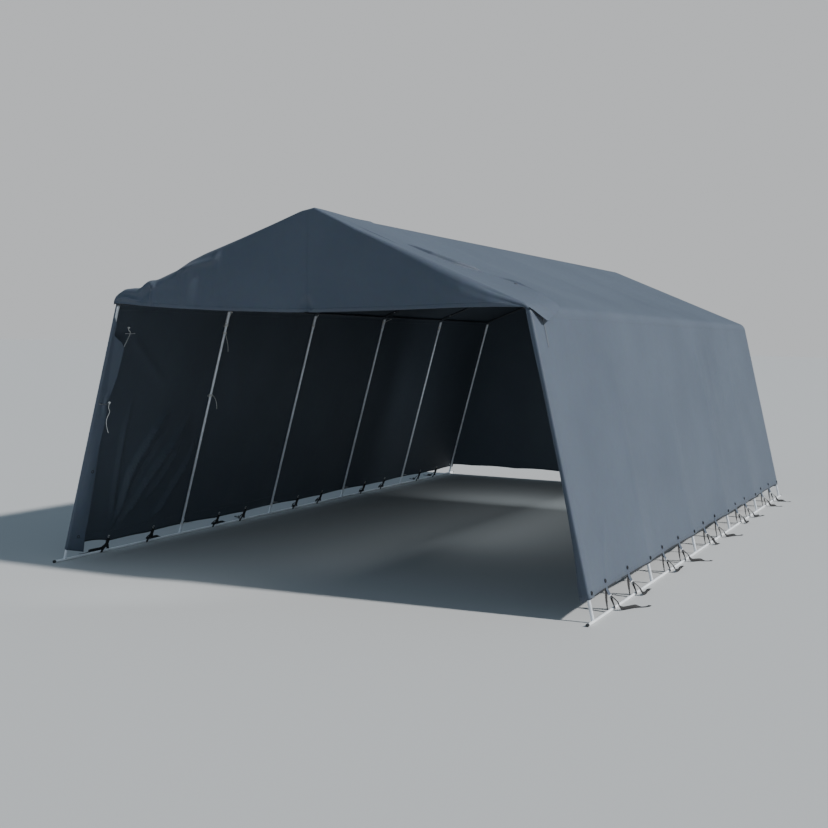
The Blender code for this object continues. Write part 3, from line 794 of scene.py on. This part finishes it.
def smoothRoute(places, spacing):
    # evenly spaced points on a smooth curve through a few places
    places = [Vector(place) for place in places]
    padded = [2 * places[0] - places[1], *places, 2 * places[-1] - places[-2]]
    dense = []
    for a, b, c, d in zip(padded, padded[1:], padded[2:], padded[3:]):
        for n in range(20):
            t = n / 20
            curve = 2 * b + (c - a) * t + (2 * a - 5 * b + 4 * c - d) * t ** 2
            dense.append((curve + (3 * b - a - 3 * c + d) * t ** 3) / 2)
    dense.append(places[-1])
    lengths = runningLength(dense)
    count = max(4, round(lengths[-1] / spacing))
    route, k = [], 0
    for n in range(count + 1):
        target = lengths[-1] * n / count
        while k < len(dense) - 2 and lengths[k + 1] < target:
            k += 1
        share = (target - lengths[k]) / (lengths[k + 1] - lengths[k])
        route.append(dense[k].lerp(dense[k + 1], share))
    return route


def alongRoute(route, k):
    return (route[min(k + 1, len(route) - 1)] - route[max(k - 1, 0)]).normalized()


def squareTo(axis, direction):
    return (direction - axis * direction.dot(axis)).normalized()


def loft(bm, side, route, rings, girth):
    # skin over a row of rings, closed at both ends, its UV in metres
    uvLayer = bm.loops.layers.uv.verify()
    count = len(rings[0])
    lengths = runningLength(route)
    rings = [[bm.verts.new(onSide(side, spot)) for spot in ring] for ring in rings]
    for n, (low, high) in enumerate(zip(rings, rings[1:])):
        for k in range(count):
            after = (k + 1) % count
            face = bm.faces.new((low[k], low[after], high[after], high[k]))
            spots = ((k, n), (k + 1, n), (k + 1, n + 1), (k, n + 1))
            for loop, (place, row) in zip(face.loops, spots):
                loop[uvLayer].uv = (place * girth / count, lengths[row])
    bm.faces.new(rings[0][::-1])
    bm.faces.new(rings[-1])


def ribbon(bm, route, width, thick, side, acrossOf):
    # flat band along a route, with slightly rounded edges
    shape = ((-1, -0.4), (-0.93, -1), (0.93, -1), (1, -0.4))
    shape += tuple((-u, -v) for u, v in shape)
    rings = []
    for k, point in enumerate(route):
        along = alongRoute(route, k)
        across = squareTo(along, acrossOf(k, along))
        up = across.cross(along).normalized() * thick / 2
        rings.append([point + across * width / 2 * u + up * v for u, v in shape])
    loft(bm, side, route, rings, width * 2)


def roundCord(bm, route, radius, side=1, sides=8):
    rings = []
    across = Vector((0.31, 0.22, 0.92))
    angles = [2 * pi * n / sides for n in range(sides)]
    for k, point in enumerate(route):
        along = alongRoute(route, k)
        across = squareTo(along, across)
        other = along.cross(across)
        rings.append([point + (across * cos(a) + other * sin(a)) * radius for a in angles])
    loft(bm, side, route, rings, radius * 6)


def meshPiece(name, bm, finish, smoothAngle, slot, *nodes):
    bmesh.ops.recalc_face_normals(bm, faces=bm.faces)
    mesh = bpy.data.meshes.new(name)
    bm.to_mesh(mesh)
    bm.free()
    piece = addObject(name, mesh)
    mesh.materials.append(finish)
    bpy.context.view_layer.objects.active = piece
    piece.select_set(True)
    bpy.ops.object.shade_smooth_by_angle(angle=radians(smoothAngle))
    piece.select_set(False)
    settle(piece, slot, *nodes)


def wallSpot(side, y, z, offset):
    # off the wall's cloth, with the bay's hollow, as on the right-hand wall
    t = (y - front) / bay % 1.0
    hem = wallCloth["hem"][side]
    share = max((z - hem) / (wallTop - hem), 0)
    hollow = wallCloth["hollow"] * 4 * t * (1 - t) * (1 - share ** 3) * cos(lean)
    x, height, _, _ = onSection(girthAtHeight(z), wallCloth["offset"] - hollow + offset)
    return Vector((x, y, height))


def strapRoute(side, y, face):
    hem = wallCloth["hem"][side]
    high = hem + straps["eyeletAbove"][side] + 0.009
    centre = Vector((footX, y + face * straps["splay"], footZ))
    reach = tent["rail"] + straps["thick"] / 2 + 0.0003
    spots = ((high, 0.001), (high - 0.008, 0.0026), (hem - 0.003, 0.0032))
    top = [wallSpot(side, y, z, face * off) for z, off in spots]
    low = []
    for a in np.radians(np.linspace(straps["start"], straps["tuck"], 5)):
        low.append(centre + Vector((face * cos(a), 0, -sin(a))) * reach)
    middle = top[-1].lerp(low[0], 0.5) + Vector((face * 0.003, 0, 0))
    return smoothRoute([*top, middle, *low], 0.006)


def strapTurn(route, degrees):
    # a band that yaws a little halfway down
    def across(k, along):
        a = radians(degrees) * sin(pi * min(1.0, k / (len(route) - 8)))
        return Vector((sin(a), cos(a), 0))
    return across


def strapTail(bm, side, start, lay):
    # the loose end: down from the buckle, over the rail, on its edge, then flat on the ground
    reach, back = lay
    width = straps["tailWidth"]
    ground = straps["thick"] / 2 + 0.0004
    y, out = start.y, footX + reach
    middle = footX + 0.06 + max(0.0, reach - 0.06) * 0.45
    route = smoothRoute([
        start,
        (footX + 0.032, y + 0.008, start.z * 0.62),
        (footX + 0.058, y + 0.024, 0.018),
        (middle, y + 0.03 + (back - 0.03) * 0.5, ground),
        (out - 0.01, y + back * 0.86, ground),
        (out, y + back, ground),
    ], 0.009)
    count = len(route)

    def across(k, along):
        s = k / count
        flat = Vector((-along.y, along.x, 0.0))
        if flat.length < 0.2:
            flat = Vector((0, 1, 0))
        flat.normalize()
        if flat.y < 0:
            flat = -flat
        base = Vector((0, 1, 0)).lerp(flat, smooth(s / 0.25))
        a = smooth((s - 0.14) / 0.16) * smooth((0.8 - s) / 0.22) * radians(78)
        return base * cos(a) + Vector((0, 0, 1)) * sin(a)

    for k, point in enumerate(route):
        turned = across(k, alongRoute(route, k))
        point.z = max(point.z, abs(turned.normalized().z) * width / 2 + ground)
        point.z += 0.004 * (max(0.0, k / count - 0.86) / 0.14) ** 2
    ribbon(bm, route, width, straps["thick"], side, across)


# black band along the hem: partly binding tape, partly painted shade under the hem's fold
def hemBandAndShade(bm, side):
    width = straps["binding"]
    route = []
    for y in np.linspace(front - 0.004, rear, 240):
        route.append(wallSpot(side, y, hemHeight(side, y) + width / 2 - 0.003, 0.0))
    ribbon(bm, route, width, straps["bindingThick"], side, lambda k, along: wallDown)


def makeStraps(side, label):
    # gives the place, outward and upward directions of each buckle
    bands, tabs = bmesh.new(), bmesh.new()
    hemBandAndShade(bands, side)
    buckles = []
    for n, (y, lay) in enumerate(zip(strapPlaces[side], tailLays)):
        if side < 0 and n == 0:
            lay = firstLeftLay
        degrees = side * (19 + 6 * sin(n * 2.3))
        inner, outer = strapRoute(side, y, -1), strapRoute(side, y, 1)
        turnOf = strapTurn(outer, degrees)
        # the cloth tab of the outer band ends in the buckle
        cut = next(k for k, place in enumerate(outer) if place.z <= straps["buckle"][side])
        ribbon(tabs, outer[:cut + 1], straps["width"], straps["tabThick"], side, turnOf)
        ribbon(bands, outer[cut:], straps["width"], straps["thick"], side,
               lambda k, along: turnOf(k + cut, along))
        along = alongRoute(outer, cut)
        out = squareTo(along, turnOf(cut, along)).cross(along).normalized()
        if out.x < 0:
            out = -out
        buckles.append((outer[cut] + out * 0.0012, out, -along))
        strapTail(bands, side, outer[cut] + out * 0.0045 + Vector((0, 0, 0.003)), lay)
        ribbon(bands, inner, straps["width"], straps["thick"], side, strapTurn(inner, degrees))
    meshPiece(f"{label}Straps", bands, webbing, 35, "webbing", f"{label}_hem_and_straps")
    meshPiece(f"{label}StrapTabs", tabs, tabCloth, 35, "cover")
    return buckles


sides = ((-1, "left"), (1, "right"))
bucklePlaces = {side: makeStraps(side, label) for side, label in sides}
print("straps made")

buckleShape = {"width": 0.031, "height": 0.021, "thick": 0.0034, "frame": 0.004, "bar": 0.0019}
boltShape = {"washer": 0.0068, "washerThick": 0.0014, "head": 0.0055, "headLong": 0.0044, "rim": 0.0012}
plugShape = {"radius": 0.0108, "long": 0.016, "rim": 0.003}


def rod(sides, radius, length, y=0.0):
    # a cylinder along Y
    turned = (pi / 2, 0, 0)
    bpy.ops.mesh.primitive_cylinder_add(vertices=sides, radius=radius, depth=length, location=(0, y, 0),
                                        rotation=turned)
    bpy.ops.object.transform_apply(location=True, rotation=True, scale=True)
    return bpy.context.active_object


def editFaces(piece, wanted):
    # into edit mode, with the wanted faces selected
    bpy.ops.object.mode_set(mode="EDIT")
    bm = bmesh.from_edit_mesh(piece.data)
    for face in bm.faces:
        face.select_set(wanted(face.normal))
    bmesh.update_edit_mesh(piece.data)


def dishEnd(piece, rim, push):
    editFaces(piece, lambda normal: normal.y < -0.9)
    bpy.ops.mesh.inset(thickness=rim)
    bpy.ops.transform.translate(value=(0, push, 0))
    bpy.ops.object.mode_set(mode="OBJECT")


def joinTo(piece):
    piece.select_set(True)
    bpy.context.view_layer.objects.active = piece
    bpy.ops.object.join()


def buckleTemplate():
    # flat frame with a rounded middle bar
    bpy.ops.mesh.primitive_cube_add(size=1)
    piece = bpy.context.active_object
    piece.scale = (buckleShape["thick"], buckleShape["width"], buckleShape["height"])
    bpy.ops.object.transform_apply(location=False, rotation=False, scale=True)
    editFaces(piece, lambda normal: abs(normal.x) > 0.9)
    bpy.ops.mesh.inset(thickness=buckleShape["frame"])
    bpy.ops.mesh.bridge_edge_loops()
    bpy.ops.object.mode_set(mode="OBJECT")
    rod(10, buckleShape["bar"], buckleShape["width"] * 0.96)
    joinTo(piece)
    edge = piece.modifiers.new("edge", "BEVEL")
    edge.width = 0.0008
    edge.segments = 2
    edge.angle_limit = radians(50)
    bpy.ops.object.modifier_apply(modifier=edge.name)
    piece.select_set(False)
    return piece


def eyeletTemplate():
    # a ring flattened along X
    bpy.ops.mesh.primitive_torus_add(major_radius=0.0098, minor_radius=0.0032, major_segments=22,
                                     minor_segments=8, rotation=(0, pi / 2, 0))
    ring = bpy.context.active_object
    bpy.ops.object.transform_apply(location=False, rotation=True, scale=False)
    ring.scale = (0.55, 1, 1)
    bpy.ops.object.transform_apply(location=False, rotation=False, scale=True)
    ring.select_set(False)
    return ring


def boltTemplate():
    # washer and hexagon head, pointing along -Y
    bolt = rod(12, boltShape["washer"], boltShape["washerThick"])
    head = rod(6, boltShape["head"], boltShape["headLong"], -0.0025)
    dishEnd(head, boltShape["rim"], -0.0006)
    joinTo(bolt)
    bolt.select_set(False)
    return bolt


def plugTemplate():
    # cap over the open end of a rail, pointing along -Y
    plug = rod(20, plugShape["radius"], plugShape["long"])
    dishEnd(plug, plugShape["rim"], -0.0018)
    plug.select_set(False)
    return plug


def copiesOf(template, name, spots, finish, slot):
    # all copies of one small part, joined into one piece
    bm = bmesh.new()
    for place in spots:
        part = template.data.copy()
        part.transform(place)
        bm.from_mesh(part)
        bpy.data.meshes.remove(part)
    meshPiece(name, bm, finish, 40, slot)


def facing(side, place, normal, upward=Vector((0, 0, 1))):
    # turns a template's X to a direction, and its Z as near as can be to another
    x = onSide(side, normal).normalized()
    z = squareTo(x, onSide(side, upward))
    return Matrix.Translation(onSide(side, place)) @ Matrix((x, z.cross(x), z)).transposed().to_4x4()


fittings = {
    "eyeletFromLeg": 0.034,
    "legEyeletAbove": 0.03,
    "eyeletFaces": (0.0052, -0.0028),  # outer and inner rings, off the cloth's middle
    "flapEyelets": ((0.066, 0.194), (0.065, 0.701)),  # along the left flap, and height
    "hoodEyelet": (0.8, -3.168),  # share of the slope, and y
    "boltOut": 0.0137,
    "boltFromEave": 0.122,
    "boltFromRidge": 0.142,
    "plugY": 3.8655,
    "plugUp": 0.0014,
}
buckle, eyelet, bolt, plug = buckleTemplate(), eyeletTemplate(), boltTemplate(), plugTemplate()
proud = Matrix.Diagonal((2.2, 1.12, 1.12, 1.0))
for side, label in sides:
    hem = wallCloth["hem"][side]
    held = [facing(side, *spot) for spot in bucklePlaces[side]]
    outer, inner = [], []
    ringPlaces = [(y, hem + straps["eyeletAbove"][side]) for y in strapPlaces[side]]
    for y in anchors[::3]:
        shift = fittings["eyeletFromLeg"] * (1 if y < rear else -1)
        ringPlaces.append((y + shift, hem + fittings["legEyeletAbove"]))
    outside, inside = fittings["eyeletFaces"]
    for y, z in ringPlaces:
        outer.append(facing(side, wallSpot(side, y, z, outside), wallOut) @ proud)
        inner.append(facing(side, wallSpot(side, y, z, inside), wallOut))
    for w, z in fittings["flapEyelets"] if side < 0 else ():
        place, normal = flapSpot(side, z, w)
        inner.append(facing(side, place - normal * 0.001, normal))
        outer.append(facing(side, place + normal * 0.001, normal))
    share, hoodY = fittings["hoodEyelet"]
    edge = min(hoodProfile(side, share * gEave, 0.0), key=lambda spot: abs(spot.y - hoodY))
    outer.append(facing(side, edge + roofOut * 0.0012, roofOut))
    copiesOf(buckle, f"{label}Buckles", held, buckleSteel, "tube")
    copiesOf(eyelet, f"{label}Eyelets", outer, eyeletSteel, "webbing")
    copiesOf(eyelet, f"{label}EyeletRings", inner, buckleSteel, "tube")
    bolts = []
    for y in anchors[3:-3:3] - fittings["boltOut"]:
        eave, ridge = Vector((eaveX, y, eaveZ)), Vector((0, y, tent["ridgeZ"]))
        low, high = fittings["boltFromEave"], fittings["boltFromRidge"]
        for spot in (eave + wallDown * low, eave + roofUp * low, ridge - roofUp * high):
            bolts.append(Matrix.Translation(onSide(side, spot)))
    copiesOf(bolt, f"{label}Bolts", bolts, boltSteel, "tube")
    ends = []
    for toward, turned in ((-1, 0), (1, pi)):
        seat = Matrix.Translation((side * footX, toward * fittings["plugY"], footZ + fittings["plugUp"]))
        ends.append(seat @ Matrix.Rotation(turned, 4, "Z"))
    copiesOf(plug, f"{label}RailPlugs", ends, plugPlastic, "webbing")
for template in (buckle, eyelet, bolt, plug):
    bpy.data.objects.remove(template, do_unlink=True)
print("buckles, eyelets, bolts and plugs made")

# cords: loose ends, and the ties that hold the cover to the legs
cordDiameter = 0.004


def legX(z):
    return footX + (z - footZ) * (eaveX - footX) / (eaveZ - footZ)


def legPlace(side, portal, z):
    return Vector((side * legX(z), front + bay * portal, z))


def looseCord(name, places, node, finish):
    route = smoothRoute(places, cordDiameter * 3)
    curve = bpy.data.curves.new(name, "CURVE")
    curve.dimensions = "3D"
    curve.bevel_depth = cordDiameter / 2
    curve.bevel_resolution = 3
    curve.use_fill_caps = True
    spline = curve.splines.new("POLY")
    spline.points.add(len(route) - 1)
    for point, place in zip(spline.points, route):
        point.co = (*place, 1.0)
    curve.materials.append(finish)
    piece = settle(addObject(name, curve), "cord", node)


# where each loose end leaves its knot, and its way from there
looseEnds = (
    ("tieCordLeg2Upper", "tie_cord_leg_2_upper", (1, 1.755),
     ((0.014, -0.006, 0.0), (0.02, -0.009, -0.02), (0.032, -0.01, -0.06), (0.042, -0.01, -0.11),
      (0.044, -0.01, -0.155))),
    ("tieCordLeg2Lower", "tie_cord_leg_2_lower", (1, 1.225),
     ((0.014, -0.006, 0.0), (0.034, -0.01, -0.004), (0.059, -0.012, -0.039), (0.07, -0.012, -0.079),
      (0.072, -0.012, -0.114))),
    ("tieCordLeftFlap", "tie_cord_left_flap", (0, 1.213),
     ((0.062, 0.061, 0.004), (0.058, 0.058, -0.037), (0.067, 0.06, -0.065), (0.045, 0.052, -0.123),
      (0.049, 0.05, -0.178), (0.06, 0.054, -0.221))),
)
for name, node, (portal, z), ends in looseEnds:
    looseCord(name, [legPlace(-1, portal, z) + Vector(end) for end in ends], node, whiteCord)
cornerDrops = ((-3.575, 1.9), (-3.574, 1.85), (-3.577, 1.79), (-3.575, 1.715))
cornerSkin = 0.0178  # how far the cloth's outer face lies from the leg's centre
skin = (cornerSkin + cordDiameter / 2 + 0.0006) / cos(lean)
cornerPlaces = [(legX(z) + skin, y, z) for y, z in cornerDrops]
looseCord("tieCordRightCorner", cornerPlaces, "tie_cord_right_corner", greyCord)

ties = {"radius": 0.0028, "legGap": 0.014, "pressed": 0.0085, "pitch": 0.006, "flapRadius": 0.0015}


def wrapRoute(portal, z, turns, start=0.0):
    # cord wound round a leg, pressed flat where the cloth lies on it
    steps = round(turns * 14)
    route = []
    for k in range(steps + 1):
        a = 2 * pi * turns * k / steps + start
        rise = ties["pitch"] * turns * (k / steps - 0.5)
        out = min(cos(a) * ties["legGap"], ties["pressed"])
        route.append(legPlace(1, portal, z + rise) + wallOut * out + Vector((0, sin(a) * ties["legGap"], 0)))
    return route


def knotRoute(centre, size):
    # small overhand knot
    route = []
    for k in range(25):
        a = 2 * pi * k / 24
        route.append(centre + Vector((sin(a) + 2 * sin(2 * a), -sin(3 * a), cos(a) - 2 * cos(2 * a))) * size)
    return route


# strands up to the eaves: portal, height of the wrap, then each strand's end and droop
tieStrands = (
    (1, 1.822, (((1.602, -2.212, 1.932), 0.0), ((1.631, -2.278, 1.812), 0.004))),
    (2, 1.842, (((1.597, -0.712, 1.942), 0.0),)),
    (3, 1.905, (((1.595, 0.772, 1.944), 0.0), ((1.59, 0.88, 1.94), 0.004))),
    (4, 1.87, (((1.597, 2.268, 1.94), 0.0),)),
)


def makeTies(side, label):
    bm = bmesh.new()

    def wind(route, share=1.0):
        roundCord(bm, route, ties["radius"] * share, side)

    for portal, z, strands in tieStrands:
        wind(wrapRoute(portal, z, 3))
        for end, droop in strands:
            start = legPlace(1, portal, z) + Vector((0.004, -0.0135, 0))
            middle = start.lerp(Vector(end), 0.5) - Vector((0, 0, droop))
            wind(smoothRoute([start, middle, end], 0.012), 0.85)
            wind(knotRoute(Vector(end), 0.0018), 0.6)
    for portal, *_ in tieStrands:
        wind(wrapRoute(portal, wallCloth["hem"][side] + 0.006, 2, 0.7))
    if side < 0:
        for z in (1.755, 1.225):
            wind(wrapRoute(1, z, 2.6))
            wind(knotRoute(legPlace(1, 1, z) + Vector((-0.015, -0.006, 0)), 0.0024))
        loop = ((1.772, -2.252, 1.225), (1.783, -2.272, 1.228), (1.787, -2.282, 1.217),
                (1.781, -2.268, 1.211), (1.775, -2.256, 1.22))
        wind(smoothRoute(loop, 0.006), 0.9)
        wind(knotRoute(legPlace(1, 0, 1.217) + Vector((-0.062, 0.061, 0)), 0.003))
        # from the flap's top corner over its toggle to a ring on the wall
        corner = flapSpot(-1, 1.655, 0.106)[0]
        toRing = ((1.655, -3.53, 1.737), (1.652, -3.552, 1.762), (1.646, -3.563, 1.778))
        wind(smoothRoute([corner, *toRing], 0.008), 1.1)
        wind(knotRoute(Vector((1.643, -3.563, 1.78)), 0.0026))
    meshPiece(f"{label}Ties", bm, whiteCord, 60, "cord")


def makeFlapTie():
    # two turns of thin cord that gather the left flap's waist
    bm = bmesh.new()
    a, b = [flapSpot(-1, flapShape["waist"], w)[0] for w in (0.004, 0.074)]
    normal = flapSpot(-1, flapShape["waist"], 0.04)[1]
    for rise in (-0.0026, 0.0026):
        spots = []
        for t in np.linspace(0, 2 * pi, 33):
            bulge = 0.0115 + 0.006 * max(0.0, cos(t)) ** 2
            lifted = Vector((0, 0, rise + 0.002 * sin(t)))
            spots.append(a.lerp(b, 0.5 - 0.52 * cos(t)) + normal * bulge * sin(t) + lifted)
        roundCord(bm, spots, ties["flapRadius"], -1)
    meshPiece("flapTie", bm, greyCord, 60, "cord")


def makeToggles():
    # short steel bars that hold the left wall's ties
    bm = bmesh.new()
    bars = [
        ((-2.053, -2.222, 0.103), (-2.05, -2.108, 0.086)),
        ((-1.657, -3.585, 1.736), (-1.657, -3.47, 1.738)),
    ]
    for y in anchors[6:-3:3]:
        bars.append(((-2.046, y + 0.016, 0.118), (-2.046, y + 0.095, 0.112)))
    for start, end in bars:
        roundCord(bm, [Vector(start).lerp(Vector(end), k / 6) for k in range(7)], 0.003, 1, 12)
    meshPiece("tieToggles", bm, buckleSteel, 40, "tube")


for side, label in sides:
    makeTies(side, label)
makeFlapTie()
makeToggles()
print("cords and ties made")

# finishes of the tubes that stay as the frame gives them
tubeFinishes = {
    "leg_": steel, "rail": railSteelPaintedReflection, "rafter": paintedShadeSteel, "ridge": paintedShadeSteel, "eaves": elbowSteelPaintedShade,
}
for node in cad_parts:
    piece = bpy.data.objects.get(node)
    if piece is None or node.startswith("tie"):
        continue
    for word, finish in tubeFinishes.items():
        if word in node:
            for slot in piece.material_slots:
                slot.material = finish

# floor and light
bpy.ops.mesh.primitive_grid_add(x_subdivisions=2, y_subdivisions=2, size=240, location=(0, 60, 0))
floor = bpy.context.active_object
floor.name = "studioFloor"
floorMaterial, tree, shader = newMaterial("paleFloor")
feed(shader, {"Base Color": (0.5, 0.51, 0.51, 1), "Roughness": 0.9})
floor.data.materials.append(floorMaterial)
floor.select_set(False)

world = bpy.data.worlds.new("studioSky")
bpy.context.scene.world = world
world.use_nodes = True
tree = world.node_tree
sky = feed(tree.nodes["Background"], {"Color": (0.62, 0.81, 1.0, 1), "Strength": 0.32})
# what the camera sees behind the floor is as pale as the floor
backdrop = addNode(tree, "ShaderNodeBackground", {"Color": (0.8, 0.82, 0.84, 1), "Strength": 0.74})
seen = addNode(tree, "ShaderNodeLightPath", {})["Is Camera Ray"]
either = addNode(tree, "ShaderNodeMixShader", {"Fac": seen, 1: sky["Background"], 2: backdrop["Background"]})
feed(tree.nodes["World Output"], {"Surface": either["Shader"]})

# place, aim, energy, colour, and a sun's angle in degrees or a strip's length
lamps = {
    "keySun": ((0, 0, 0), (-0.788, -0.063, -0.613), 4.85, (1.0, 0.98, 0.96), 3.0),
    "frontFill": ((0, 0, 0), (-0.02, 0.98, -0.18), 0.37, (0.66, 0.82, 0.96), 50.0),
    # weak strips along the middle of the tent, so that its inside isn't black
    "toLeftWall": ((-0.02, -0.6, 0.75), (-1.0, 0.0, -0.26), 4.4, (0.88, 0.96, 1.0), 5.0),
    "toLeftFlap": ((-0.75, -4.7, 0.8), (-0.6, 0.78, -0.28), 2.0, (0.88, 0.96, 1.0), 0.9),
    "toRightWall": ((0.02, 0.9, 0.75), (1.0, 0.0, -0.22), 9.0, (0.88, 0.96, 1.0), 5.0),
    "toRear": ((0.0, 1.2, 0.85), (0.0, 1.0, -0.1), 8.0, (0.88, 0.96, 1.0), 2.4),
}
for name, (place, aim, energy, colour, size) in lamps.items():
    data = bpy.data.lights.new(name, "AREA" if name.startswith("to") else "SUN")
    data.energy = energy
    data.color = colour
    lamp = addObject(name, data)
    lamp.location = place
    lamp.rotation_euler = Vector(aim).to_track_quat("-Z", "Y").to_euler()
    if data.type == "SUN":
        data.angle = radians(size)
        continue
    data.shape = "RECTANGLE"
    data.size = size
    data.size_y = 0.7
    lamp.visible_camera = False
print("stage made")
